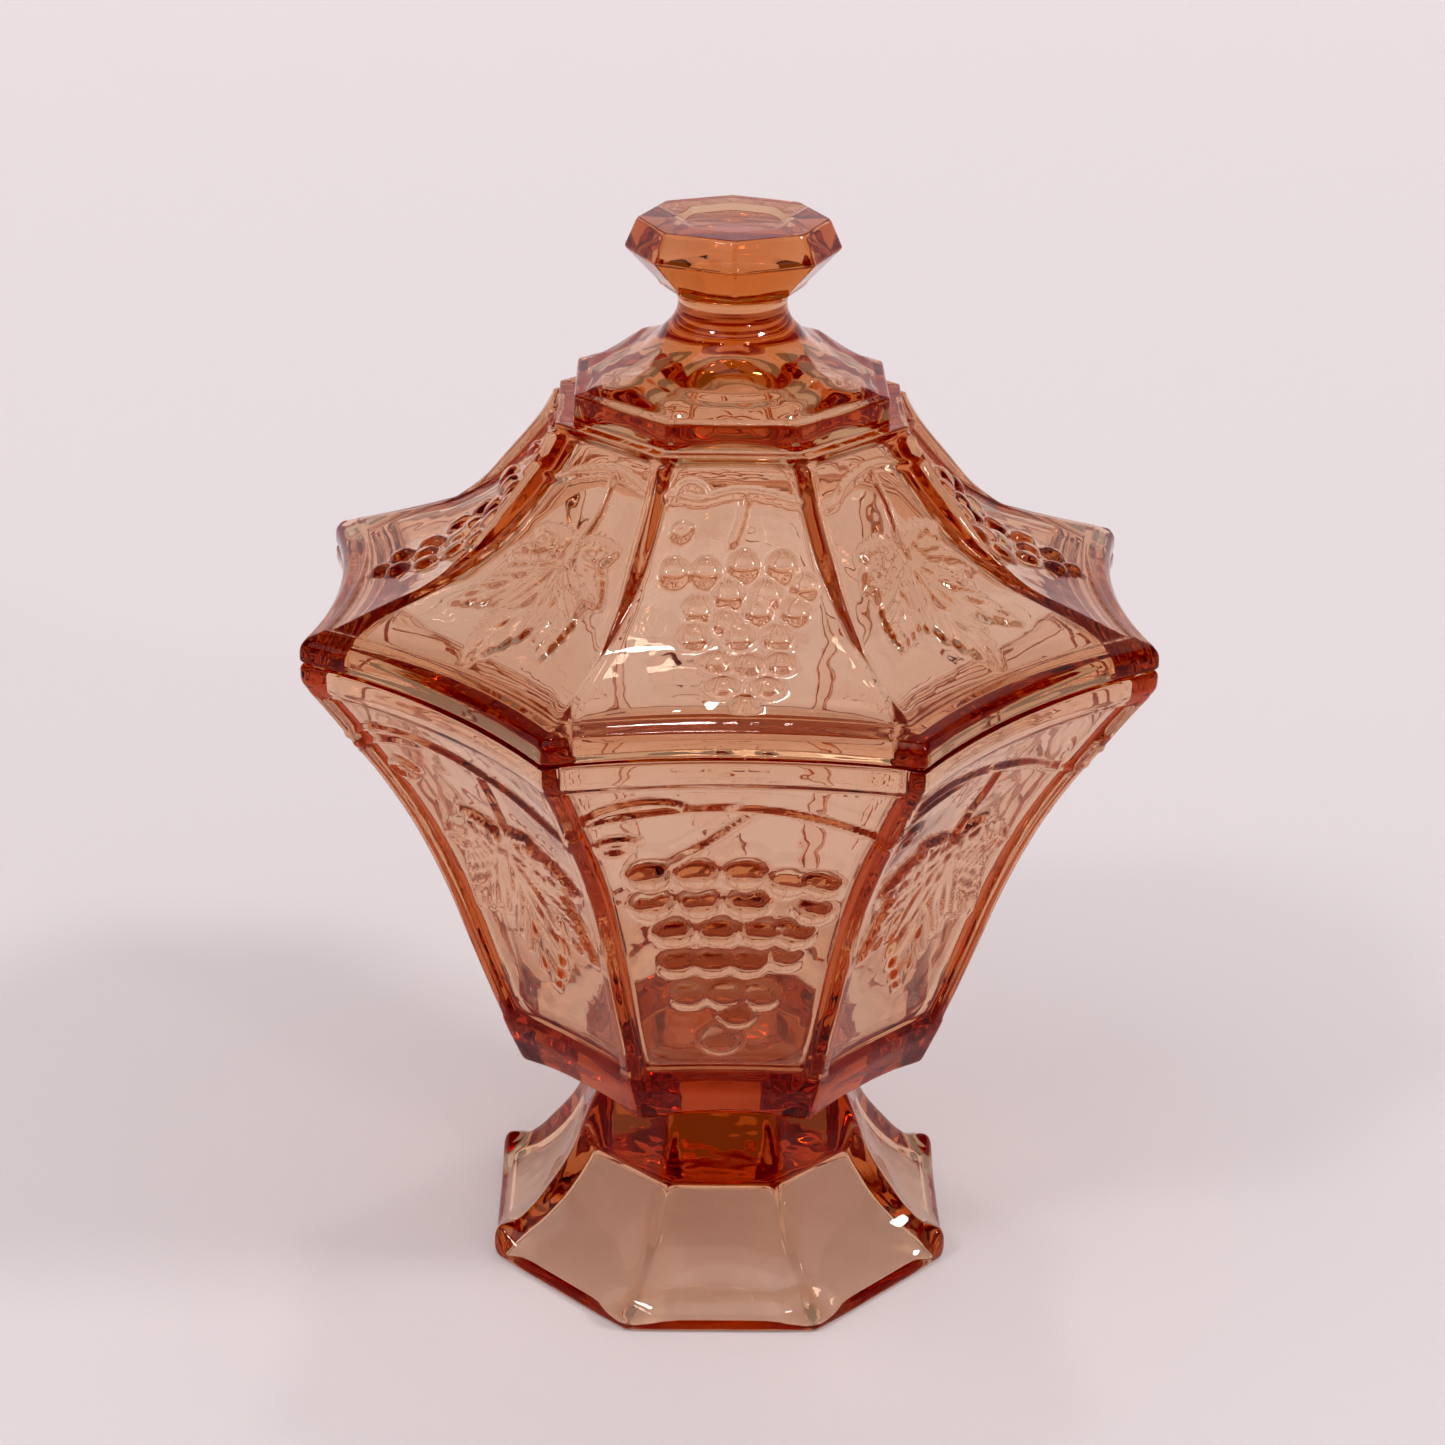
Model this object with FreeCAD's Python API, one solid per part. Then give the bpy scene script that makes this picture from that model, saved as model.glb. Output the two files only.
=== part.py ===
import FreeCAD, Part
import math
import os

# Covered candy dish in pressed pink-amber glass, in millimetres, +Z up.
# The origin is the centre of the foot, on the surface the dish stands on.
# The dish is two loose pieces: the footed bowl and the lift-off lid.
# Every horizontal slice of both pieces is an octagon with a flat side towards -Y,
# so a slice is given by its height and by the distance from its centre to its corners.

# ---- driving dimensions -------------------------------------------------------------
SIDES = 8
TOTAL_HEIGHT = 225.0
SEAT_HEIGHT = 144.4      # bowl rim, where the lid rests
SEAT_GAP = 0.2           # left between the two ground rims
RIM_RADIUS = 91.0        # widest corners, shared by the bowl rim and the lid rim
RIM_BOW = 4.6            # how far the middle of a rim side pulls in from a straight octagon
WALL = 4.4               # glass thickness through a panel
CORNER_WALL = 6.2        # glass thickness through a corner, measured along its radius

FOOT_RADIUS = 52.7
FOOT_LIP = 1.4           # height of the foot's edge at the middle of a side
STEM_TOP_RADIUS = 27.5   # where the stem runs into the bowl
BASE_BOTTOM = 47.3       # underside of the bowl
BASE_RADIUS = 45.9
FLOOR_HEIGHT = 53.0      # inside floor of the bowl
PANEL_START = 57.0       # top of the plain band at the bottom of the bowl
BAND_RADIUS = 49.9       # corners at the top of that band
BEAD_START = 138.5       # bottom of the rounded bead under the bowl rim

RIB_HALF = 2.6           # half width of the raised corner rib on each side it touches
RIB_FLANK = 1.4          # width of the slope from rib down to panel
RIB_PROUD = 1.2          # how far a rib stands out from its panels
SECTION_STEPS = 7        # slices along each curved stretch

EDGE_ROUND = 1.2         # small rounding along the pressed edges
RIM_ROUND = 1.6          # rounding of the bowl rim and the lid rim
OVERLAP = 2.0            # how far stacked features run into each other before they are joined

ROOF_RIB_SHARE = 0.6     # lid ribs stand out this share of the bowl ribs
FLANGE_DROP = 3.6        # how far the lid's locating flange reaches into the bowl
FLANGE_RADIUS = 82.4
FLANGE_WALL = 3.6

LIP_RADIUS = 37.5        # top lip of the lid's sloping roof
LIP_HEIGHT = 187.4
COLLAR_RADIUS = 33.5
COLLAR_TOP = 192.7
KNOB_BOTTOM = 211.6
KNOB_BOTTOM_RADIUS = 14.5
KNOB_GIRDLE = 219.2
KNOB_GIRDLE_RADIUS = 21.5
KNOB_TABLE_RADIUS = 19.0
KNOB_EDGE = 0.5          # small rounding of the knob's edges
DIMPLE_RADIUS = 10.5     # shallow round dimple in the top of the knob
DIMPLE_DEPTH = 0.8

STRAIGHT = 0.2           # bow of a side that is pressed almost straight

# ---- corner outlines, (corner radius, height); each *_CURVE is joined by a smooth curve ---
FOOT_CURVE = [(52.2, 4.0), (49.6, 7.9), (44.2, 12.4), (36.4, 20.8), (30.8, 32.0), (25.8, 42.0)]
SCOOP_DEPTHS = [4.4, 5.8, 5.0, 3.8, 2.8, 2.0, 1.6, 1.2]   # one for each slice of the foot
BOWL_CURVE = [(50.6, 59.5), (59.1, 83.3), (69.4, 108.0), (79.6, 124.4), (89.4, BEAD_START)]
FLOOR_OUTLINE = [(26.0, FLOOR_HEIGHT), (34.0, 54.0), (41.0, 56.8)]      # rounded bottom of the bowl's inside
HOLLOW_OUTLINE = [(48.2, 0.0), (40.5, 5.6), (34.0, 11.6), (29.2, 19.3), (26.8, 21.5)]
LID_RIM_TOP = [(90.6, 3.4), (88.4, 5.0), (85.0, 6.2)]   # (corner radius, rise above the seat)
ROOF_CURVE = [(80.0, 152.6), (64.0, 158.2), (54.0, 164.5), (44.5, 174.5), (36.6, 186.0)]
CROWN_OUTLINE = [(27.4, 186.8), (23.6, 188.4), (16.0, 191.0), (8.0, 193.4)]   # hollow under the dome
DOME_CURVE = [(31.0, 192.7), (25.0, 196.8), (17.3, 200.3), (12.6, 203.9), (10.8, 208.0), (12.2, 212.2)]


# ---- octagonal slices and the solids made from them -----------------------------------
def corner_point(radius, height, corner, turn=0.0):
    """Corner number 0..7 of an octagon; turn is a rotation about Z in degrees."""
    angle = math.radians((corner - 0.5) * 360.0 / SIDES + turn)
    return FreeCAD.Vector(radius * math.sin(angle), -radius * math.cos(angle), height)


def side_edges(radius, height, side, bow, recess, ribbed):
    """Edges of one side of a slice, bowed inwards and, if ribbed, with half a rib at each end."""
    start = corner_point(radius, height, side)
    end = corner_point(radius, height, side + 1)
    length = start.distanceToPoint(end)
    along = (end - start).normalize()
    middle = (start + end) * 0.5
    inwards = (FreeCAD.Vector(0, 0, height) - middle).normalize()

    def point(distance, depth):
        share = distance / length
        sagged = depth + 4.0 * bow * share * (1.0 - share)
        return start + along * distance + inwards * sagged

    def curve(first, last, depth):
        if bow == 0.0:
            return Part.LineSegment(point(first, depth), point(last, depth)).toShape()
        centre = point((first + last) / 2.0, depth)
        return Part.Arc(point(first, depth), centre, point(last, depth)).toShape()

    if not ribbed:
        return [curve(0.0, length, 0.0)]
    rib_end = RIB_HALF
    panel_start = RIB_HALF + RIB_FLANK
    panel_end = length - panel_start
    return [
        Part.LineSegment(start, point(rib_end, 0.0)).toShape(),
        Part.LineSegment(point(rib_end, 0.0), point(panel_start, recess)).toShape(),
        curve(panel_start, panel_end, recess),
        Part.LineSegment(point(panel_end, recess), point(length - rib_end, 0.0)).toShape(),
        Part.LineSegment(point(length - rib_end, 0.0), end).toShape(),
    ]


def slice_wire(radius, height, bow=0.0, recess=0.0, ribbed=False):
    edges = []
    for side in range(SIDES):
        edges.extend(side_edges(radius, height, side, bow, recess, ribbed))
    return Part.Wire(edges)


def stack(slices, ribbed=False):
    """Solid through slices given as (corner radius, height, bow, recess)."""
    wires = [slice_wire(radius, height, bow, recess, ribbed) for radius, height, bow, recess in slices]
    return Part.makeLoft(wires, True, True)


def prism_stack(slices, turn=0.0):
    """Solid through plain straight-sided octagons given as (corner radius, height)."""
    wires = []
    for radius, height in slices:
        points = [corner_point(radius, height, corner, turn) for corner in range(SIDES)]
        wires.append(Part.makePolygon(points + points[:1]))
    return Part.makeLoft(wires, True, True)


def turned(outline):
    """Solid of revolution about Z from a closed outline of (radius, height) points."""
    points = [FreeCAD.Vector(radius, 0, height) for radius, height in outline]
    face = Part.Face(Part.makePolygon(points + points[:1]))
    return face.revolve(FreeCAD.Vector(0, 0, 0), FreeCAD.Vector(0, 0, 1), 360)


def smooth(points, steps=SECTION_STEPS):
    """Points and tangents spaced along the smooth curve through the given outline points."""
    curve = Part.BSplineCurve()
    curve.interpolate([FreeCAD.Vector(radius, 0, height) for radius, height in points])
    first, last = curve.FirstParameter, curve.LastParameter
    samples = []
    for step in range(steps + 1):
        parameter = first + (last - first) * step / steps
        tangent = FreeCAD.Vector(*curve.tangent(parameter)[0])
        samples.append((curve.value(parameter), tangent))
    return samples


def rim_bow_at(radius):
    """Sides are straight at the bowl's base and bow in more towards the wide rim."""
    share = (radius - BASE_RADIUS) / (RIM_RADIUS - BASE_RADIUS)
    return RIM_BOW * max(share, 0.05)


# ---- footed bowl ----------------------------------------------------------------------
def foot():
    """Flared foot and stem: eight scooped fans between ridges that run up to the bowl."""
    slices = [
        (FOOT_RADIUS, 0.0, 0.2, 0.0),
        (FOOT_RADIUS, FOOT_LIP, 0.2, 0.0),
    ]
    stem_scoop = SCOOP_DEPTHS[-1]
    for (point, _tangent), scoop in zip(smooth(FOOT_CURVE), SCOOP_DEPTHS):
        slices.append((point.x, point.z, scoop, 0.0))
    slices.append((STEM_TOP_RADIUS, FLOOR_HEIGHT - 2.0 * OVERLAP, stem_scoop, 0.0))
    return stack(slices)


def foot_hollow():
    """Octagonal hollow pressed up into the foot from below."""
    return prism_stack(HOLLOW_OUTLINE)


def bowl_outside():
    slices = [
        (BASE_RADIUS - EDGE_ROUND, BASE_BOTTOM, rim_bow_at(BASE_RADIUS), 0.0),
        (BASE_RADIUS, BASE_BOTTOM + EDGE_ROUND, rim_bow_at(BASE_RADIUS), 0.0),
        (BAND_RADIUS, PANEL_START, rim_bow_at(BAND_RADIUS), 0.0),
    ]
    for point, _tangent in smooth(BOWL_CURVE):
        slices.append((point.x, point.z, rim_bow_at(point.x), RIB_PROUD))
    bead_middle = (BEAD_START + SEAT_HEIGHT) / 2.0
    slices.append((RIM_RADIUS - RIM_ROUND / 3.0, BEAD_START + EDGE_ROUND, RIM_BOW, 0.0))
    slices.append((RIM_RADIUS, bead_middle, RIM_BOW, 0.0))
    slices.append((RIM_RADIUS, SEAT_HEIGHT - RIM_ROUND, RIM_BOW, 0.0))
    slices.append((RIM_RADIUS - RIM_ROUND / 2.0, SEAT_HEIGHT, RIM_BOW, 0.0))
    return stack(slices, ribbed=True)


def bowl_inside():
    """Smooth inside of the bowl, from a small flat floor up to the open mouth."""
    slices = []
    for radius, height in FLOOR_OUTLINE:
        slices.append((radius, height, STRAIGHT, 0.0))
    for point, _tangent in smooth(BOWL_CURVE)[1:]:
        slices.append((point.x - CORNER_WALL, point.z, rim_bow_at(point.x), 0.0))
    mouth_radius = RIM_RADIUS - CORNER_WALL
    slices.append((mouth_radius, BEAD_START + EDGE_ROUND, RIM_BOW, 0.0))
    slices.append((mouth_radius, SEAT_HEIGHT + OVERLAP, RIM_BOW, 0.0))
    return stack(slices)


def footed_bowl():
    body = bowl_outside().fuse(foot())
    return body.cut(bowl_inside()).cut(foot_hollow())


# ---- lid ------------------------------------------------------------------------------
def roof_outside():
    """Rim band and the sloping, inward-curving roof up to its top lip."""
    bottom = SEAT_HEIGHT + SEAT_GAP
    slices = [
        (RIM_RADIUS - RIM_ROUND / 2.0, bottom, RIM_BOW, 0.0),
        (RIM_RADIUS, bottom + RIM_ROUND, RIM_BOW, 0.0),
    ]
    for radius, rise in LID_RIM_TOP:
        slices.append((radius, bottom + rise, RIM_BOW, 0.0))
    for point, _tangent in smooth(ROOF_CURVE):
        slices.append((point.x, point.z, rim_bow_at(point.x), RIB_PROUD * ROOF_RIB_SHARE))
    slices.append((LIP_RADIUS, LIP_HEIGHT - EDGE_ROUND / 2.0, STRAIGHT, 0.0))
    slices.append((LIP_RADIUS - EDGE_ROUND, LIP_HEIGHT, STRAIGHT, 0.0))
    return stack(slices, ribbed=True)


def roof_inside():
    """Inside of the lid, one wall thickness in from the roof, closed under the neck."""
    bottom = SEAT_HEIGHT + SEAT_GAP
    flange_inner = FLANGE_RADIUS - FLANGE_WALL
    slices = [
        (flange_inner, bottom - FLANGE_DROP - OVERLAP, RIM_BOW, 0.0),
        (flange_inner, bottom, RIM_BOW, 0.0),
    ]
    for point, tangent in smooth(ROOF_CURVE):
        radius = point.x - WALL * tangent.z
        height = point.z - WALL * abs(tangent.x)
        if radius < flange_inner - EDGE_ROUND:
            slices.append((radius, height, rim_bow_at(radius), 0.0))
    for radius, height in CROWN_OUTLINE:
        slices.append((radius, height, STRAIGHT, 0.0))
    return stack(slices)


def flange():
    """Ring under the lid that drops inside the bowl mouth and keeps the lid centred."""
    bottom = SEAT_HEIGHT + SEAT_GAP
    outline = [
        (FLANGE_RADIUS - EDGE_ROUND, bottom - FLANGE_DROP, RIM_BOW, 0.0),
        (FLANGE_RADIUS, bottom - FLANGE_DROP + EDGE_ROUND, RIM_BOW, 0.0),
        (FLANGE_RADIUS, bottom + OVERLAP, RIM_BOW, 0.0),
    ]
    return stack(outline)


def collar():
    """Upright octagonal band standing on the roof's top lip."""
    return prism_stack([
        (COLLAR_RADIUS, LIP_HEIGHT - OVERLAP),
        (COLLAR_RADIUS, COLLAR_TOP - EDGE_ROUND),
        (COLLAR_RADIUS - EDGE_ROUND, COLLAR_TOP),
    ])


def dome_and_neck():
    """Concave dome that sweeps from the collar into the narrow round neck."""
    outline = [(0.0, COLLAR_TOP - OVERLAP), (DOME_CURVE[0][0], COLLAR_TOP - OVERLAP)]
    for point, _tangent in smooth(DOME_CURVE, 2 * SECTION_STEPS):
        outline.append((point.x, point.z))
    outline.append((0.0, DOME_CURVE[-1][1]))
    return turned(outline)


def knob():
    """Gem-cut knob, turned half a side so that a corner faces -Y, with a dimpled table."""
    half_side = 180.0 / SIDES
    body = prism_stack([
        (KNOB_BOTTOM_RADIUS, KNOB_BOTTOM),
        (KNOB_GIRDLE_RADIUS - KNOB_EDGE, KNOB_GIRDLE - KNOB_EDGE),
        (KNOB_GIRDLE_RADIUS, KNOB_GIRDLE),
        (KNOB_GIRDLE_RADIUS - KNOB_EDGE / 2.0, KNOB_GIRDLE + KNOB_EDGE),
        (KNOB_TABLE_RADIUS + KNOB_EDGE, TOTAL_HEIGHT - KNOB_EDGE),
        (KNOB_TABLE_RADIUS, TOTAL_HEIGHT),
    ], turn=half_side)
    ball_radius = (DIMPLE_RADIUS ** 2 + DIMPLE_DEPTH ** 2) / (2.0 * DIMPLE_DEPTH)
    ball_centre = FreeCAD.Vector(0, 0, TOTAL_HEIGHT - DIMPLE_DEPTH + ball_radius)
    return body.cut(Part.makeSphere(ball_radius, ball_centre))


def lid():
    body = roof_outside().fuse(flange()).fuse(collar()).fuse(dome_and_neck()).fuse(knob())
    return body.cut(roof_inside())


# ---- write one file per piece ---------------------------------------------------------
os.makedirs("parts", exist_ok=True)
PIECES = {"footed_bowl": footed_bowl, "lid": lid}
for name, build in PIECES.items():
    shape = build().removeSplitter()
    print(name, "solids", len(shape.Solids), "valid", shape.isValid(), "volume mm3", round(shape.Volume))
    shape.exportStep("parts/%s.step" % name)
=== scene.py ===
import bpy
import math
import numpy as np
from mathutils import Matrix, Vector


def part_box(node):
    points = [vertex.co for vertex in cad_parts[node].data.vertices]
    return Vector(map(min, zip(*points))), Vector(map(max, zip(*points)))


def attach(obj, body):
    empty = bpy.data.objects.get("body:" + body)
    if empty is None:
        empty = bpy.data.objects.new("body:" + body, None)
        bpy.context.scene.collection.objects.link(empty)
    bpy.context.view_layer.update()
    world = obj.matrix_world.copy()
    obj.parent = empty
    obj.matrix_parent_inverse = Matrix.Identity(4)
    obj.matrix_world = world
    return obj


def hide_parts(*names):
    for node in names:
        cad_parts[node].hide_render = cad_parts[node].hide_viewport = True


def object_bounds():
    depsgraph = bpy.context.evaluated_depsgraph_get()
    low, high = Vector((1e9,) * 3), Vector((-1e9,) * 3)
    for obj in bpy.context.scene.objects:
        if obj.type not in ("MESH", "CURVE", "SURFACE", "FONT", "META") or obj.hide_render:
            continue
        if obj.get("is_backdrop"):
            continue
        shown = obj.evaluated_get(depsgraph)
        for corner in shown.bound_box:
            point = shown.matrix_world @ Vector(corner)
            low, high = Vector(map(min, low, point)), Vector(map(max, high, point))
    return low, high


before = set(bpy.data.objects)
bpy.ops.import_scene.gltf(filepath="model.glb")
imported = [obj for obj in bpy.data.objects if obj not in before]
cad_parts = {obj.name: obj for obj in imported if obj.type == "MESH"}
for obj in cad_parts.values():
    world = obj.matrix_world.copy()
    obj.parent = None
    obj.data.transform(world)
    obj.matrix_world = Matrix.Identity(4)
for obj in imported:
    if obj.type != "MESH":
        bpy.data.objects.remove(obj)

# Octagonal pressed-glass candy dish: a footed bowl and a lift-off lid, each one closed skin of glass.
# Outlines are in millimetres in the frame of the CAD model and are turned into metres when a mesh is made.

CAD_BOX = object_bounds()
MM = 0.001
SIDES = 8
HALF_SIDE = math.pi / SIDES
FLAT = math.cos(HALF_SIDE)            # middle radius of a straight octagon side over its corner radius

# ---- driving dimensions -------------------------------------------------------------------
BOWL_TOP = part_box("footed_bowl")[1]
LID_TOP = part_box("lid")[1]
SEAT = BOWL_TOP.z / MM                # rim of the bowl
TOTAL = LID_TOP.z / MM                # top of the knob
RIM = BOWL_TOP.x / MM / FLAT          # corner radius of both rims
SEAT_GAP = 0.2
LID_BOTTOM = SEAT + SEAT_GAP
RIM_BOW = 4.6                         # how far the middle of a rim side pulls in
BASE_RADIUS = 45.9                    # corner radius of the bowl's base
BASE_BOW = 0.9
FOOT_ROOF = 21.6                      # top of the hollow under the foot
WALL = 6.4                            # glass at a corner of the bowl, measured along its radius
BOWL_FLOOR = 53.0                     # floor inside the bowl
LIP_HEIGHT = 187.4                    # top of the lid's slope
COLLAR_RADIUS = 33.5                  # corner radius of the collar that carries the dome
COLLAR_TOP = 192.6
CROWN = 194.8                         # top of the lid's hollow, under the neck
KNOB_TABLE = TOTAL - 1.2              # bottom of the shallow hollow in the knob's top
CIRCLE_SHARE = 0.96                   # radius of a circle that replaces an octagon, over its corner radius
CIRCLE_BLEND = 4.0                    # run of radius in which an octagon turns into a circle

# Relief: depth of the sunk panels between the ribs, and the ribs themselves.
PANEL_STEP = 1.2
PANEL_LOW = 59.0
PANEL_HIGH = 136.6
PANEL_EDGE = 1.6                      # run of the step at the panel's top and bottom
RIB_HALF = 2.5
RIB_EDGE = 3.7
DECORATION_FADE = 0.55                # how far decoration sinks where it crosses a rib or a border
ROOF_STEP = 0.7
ROOF_START = 150.4                    # heights between which the lid's slope is sunk
ROOF_FINISH = 185.2
ROOF_STEP_LOW = (0.4, 2.0)            # the run of that step, from its lower end and from its upper end
ROOF_STEP_HIGH = (-0.4, 1.0)
LID_RIB_HALF = 2.7                    # half width of a lid rib at its top; it narrows down the slope
LID_RIB_SLOPE = 0.85                  # height of a rib over its half width
LID_RIB_CREST = 0.85                  # power of a rib's section: 1 is a sharp ridge, less is rounder
LID_RIB_TAPER = (13.0, 42.0)          # distances up the slope where a rib starts and is at its widest


# ---- rows: slices of a piece ------------------------------------------------------------
# A row is (corner radius, corner height, middle radius, middle height, power, rounding).
# Between corner and middle of a side the radius follows 1 - |x| ** power; the height eases likewise.

CORNER_ROUNDING = 1.5    # of an octagon's corners, unless a row says otherwise
LONGEST_ROUNDING = 3.0   # a corner's rounding is at most the side over this
FILLET_TURNS = 4         # rows in a rounded turn of an outline
LONGEST_FILLET = 0.45    # of the run it is cut from


def level(radius, height, bow=0.0, rounding=CORNER_ROUNDING):
    """A row that stays at one height, its sides pulled in by bow at their middles."""
    return (radius, height, radius * FLAT - bow, height, 2.0, rounding)


def swept(corner, middle, power=2.0, rounding=CORNER_ROUNDING):
    """A row whose corners and side middles lie at different (radius, height)."""
    return (corner[0], corner[1], middle[0], middle[1], power, rounding)


def rounded(points, spacing):
    """Rows along straight runs between the given (row, fillet) points, with the turns rounded off."""
    rows = [np.array(points[0][0], float)]
    for index in range(1, len(points)):
        target = np.array(points[index][0], float)
        start = rows[-1]
        fillet = points[index][1]
        run = np.hypot(*(target[:2] - start[:2]))
        stop = target
        if index + 1 < len(points) and fillet > 0.0:
            after = np.array(points[index + 1][0], float)
            next_run = np.hypot(*(after[:2] - target[:2]))
            cut = min(fillet, LONGEST_FILLET * run, LONGEST_FILLET * next_run)
            stop = target + (start - target) * cut / run
            leave = target + (after - target) * cut / next_run
        count = max(1, int(round(np.hypot(*(stop[:2] - start[:2])) / spacing)))
        for step in range(1, count + 1):
            rows.append(start + (stop - start) * step / count)
        if stop is not target:
            for step in range(1, FILLET_TURNS + 1):
                share = step / FILLET_TURNS
                rows.append(stop * (1 - share) ** 2 + target * 2 * share * (1 - share) + leave * share ** 2)
    return rows


def splined(points, steps):
    """Rows on a smooth curve through the given rows, the same number of steps in each span."""
    known = [np.array(point, float) for point in points]
    known = [2 * known[0] - known[1]] + known + [2 * known[-1] - known[-2]]
    rows = []
    for index in range(1, len(known) - 2):
        before, first, second, after = known[index - 1:index + 3]
        for step in range(steps):
            t = step / steps
            rows.append(0.5 * (2 * first + (second - before) * t
                               + (2 * before - 5 * first + 4 * second - after) * t ** 2
                               + (3 * first - before - 3 * second + after) * t ** 3))
    rows.append(known[-2])
    return rows


def evenly(rows, spacing):
    """The same line of rows, spaced evenly along the corner outline."""
    table = np.array(rows)
    steps = np.hypot(np.diff(table[:, 0]), np.diff(table[:, 1]))
    reach = np.concatenate([[0.0], np.cumsum(steps)])
    count = max(2, int(round(reach[-1] / spacing)) + 1)
    wanted = np.linspace(0.0, reach[-1], count)
    return [np.array([np.interp(at, reach, table[:, k]) for k in range(table.shape[1])]) for at in wanted]


def side_lengths(rows):
    return np.array([2.0 * row[0] * math.sin(HALF_SIDE) for row in rows])


def climb_along(radii, heights):
    """Distance travelled along an outline, from its first point to each point."""
    return np.concatenate([[0.0], np.cumsum(np.hypot(np.diff(radii), np.diff(heights)))])


# ---- columns: how a row is divided around the octagon -------------------------------------
EDGE_SHARE = 4.0         # on a side shorter than this many edge zones, the edge columns move together


class Layout:
    """Columns of each side: a few at fixed distances from the corners, the rest evenly between."""

    def __init__(self, edge_steps, counts):
        self.edge_steps = edge_steps
        self.counts = counts

    def along(self, side, length):
        """Distances of the columns along one side."""
        scale = min(1.0, length / (EDGE_SHARE * self.edge_steps[-1]))
        edge = np.array(self.edge_steps) * scale
        inner = self.counts[side % len(self.counts)]
        between = np.linspace(edge[-1], length - edge[-1], inner + 2)[1:-1]
        return np.concatenate([edge, between, (length - edge[::-1])[:-1]])


# Distances of the edge columns, then the number of columns between them on each side in turn.
PLAIN = Layout([0.0, 0.5, 1.1, 2.0], [11])
FINE = Layout([0.0, 0.6, 1.2, 1.8, 2.3, 2.8, 3.3, 3.9], [50, 64])      # grape sides, leaf sides


def ring(row, layout, turn=0.0):
    """Points of one row, with each point's side and its offset from the side's middle."""
    corner_r, corner_z, middle_r, middle_z, power, rounding = row
    length = 2.0 * corner_r * math.sin(HALF_SIDE)
    fillet = min(rounding, length / LONGEST_ROUNDING)
    tangent = fillet * math.tan(HALF_SIDE)
    points, sides, offsets = [], [], []
    for side in range(SIDES):
        first = (side - 0.5) * 2.0 * HALF_SIDE + turn
        centre = side * 2.0 * HALF_SIDE + turn
        start = np.array([math.sin(first), -math.cos(first)]) * corner_r
        ahead = np.array([math.cos(centre), math.sin(centre)])
        inward = np.array([-math.sin(centre), math.cos(centre)])
        along = layout.along(side, length)
        lengthwise = np.abs(2.0 * along / length - 1.0) ** power
        near = np.minimum(along, length - along)
        reach = np.clip(tangent - near, 0.0, None)
        bowed = (corner_r * FLAT - middle_r) * (1.0 - lengthwise)
        depth = bowed + fillet - np.sqrt(fillet ** 2 - reach ** 2)
        flat = start + ahead * along[:, None] + inward * depth[:, None]
        # The column on the corner itself sits in the middle of the corner's rounding.
        flat[0] = start * (1.0 - fillet * (1.0 / FLAT - 1.0) / corner_r)
        height = corner_z + (middle_z - corner_z) * np.cos(0.5 * math.pi * lengthwise) ** 2
        points.append(np.column_stack([flat, height]))
        sides.append(np.full(len(along), side))
        offsets.append(along - length / 2.0)
    return np.concatenate(points), np.concatenate(sides), np.concatenate(offsets)


def stations(row, layout):
    """Where each column lies around the octagon, in sides, for joining rows of different layouts."""
    length = 2.0 * row[0] * math.sin(HALF_SIDE)
    return np.concatenate([side + layout.along(side, length) / length for side in range(SIDES)])


# ---- relief: heights above the plain skin of a panel ----------------------------------------
GRAPE_SHARE = 0.5        # height of a grape over its radius
GRAPE_FULLNESS = 2.7     # power of the distance from a grape's middle: higher is flatter on top
GRAPE_EDGE = 0.62        # power of its whole profile: lower is steeper at the edge
CORD_HEIGHT = 0.85
CORD_ROUNDNESS = 0.75
BOWL_CORD = 0.95         # half width of the bowl's vines, stalks and tendrils
LID_CORD = 0.9
CORD_STEPS = 14          # points of a cord in each span between its given points
CURL_STEPS = 16          # points in one turn of a tendril
CURL_TIGHTENING = 0.72   # share of its radius that a tendril has lost at its inner end
CURL_FLATTENING = 0.8
BOWL_LEAF_HEIGHT = 1.25
LID_LEAF_HEIGHT = 1.05
TEETH = 4.5              # teeth along each edge of a lobe
FEATHER = 2.3            # how far forward the side veins lean
LOBE_SWELL = 0.7         # power that moves a lobe's widest place towards its root
LOBE_TAPER = 0.9
NOTCH_WIDTH = 0.9        # width of a lobe at a notch, over its full width
TOOTH_WIDTH = 0.18       # what a tooth adds to it
LOBE_EDGE = 1.5          # run of the slope along a lobe's edge
VEIN_WIDTH = 0.6
LOBE_GROUND = 0.75       # the four shares of a leaf's height
SIDE_VEIN_RISE = 0.35
MIDDLE_VEIN_SINK = 0.4
EDGE_SINK = 0.3


def smooth_step(value, low, high):
    share = np.clip((value - low) / (high - low), 0.0, 1.0)
    return share * share * (3.0 - 2.0 * share)


def grape(x, y, centre_x, centre_y, radius):
    """A grape: round in plan, full at the top and steep at its edge."""
    share = np.clip(np.hypot(x - centre_x, y - centre_y) / radius, 0.0, 1.0)
    return GRAPE_SHARE * radius * (1.0 - share ** GRAPE_FULLNESS) ** GRAPE_EDGE


def grapes(x, y, rows):
    result = np.zeros_like(x)
    for row_y, radius, centres in rows:
        for centre_x in centres:
            result = np.maximum(result, grape(x, y, centre_x, row_y, radius))
    return result


def smooth_line(points):
    return np.array(splined([tuple(point) for point in points], CORD_STEPS))


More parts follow.
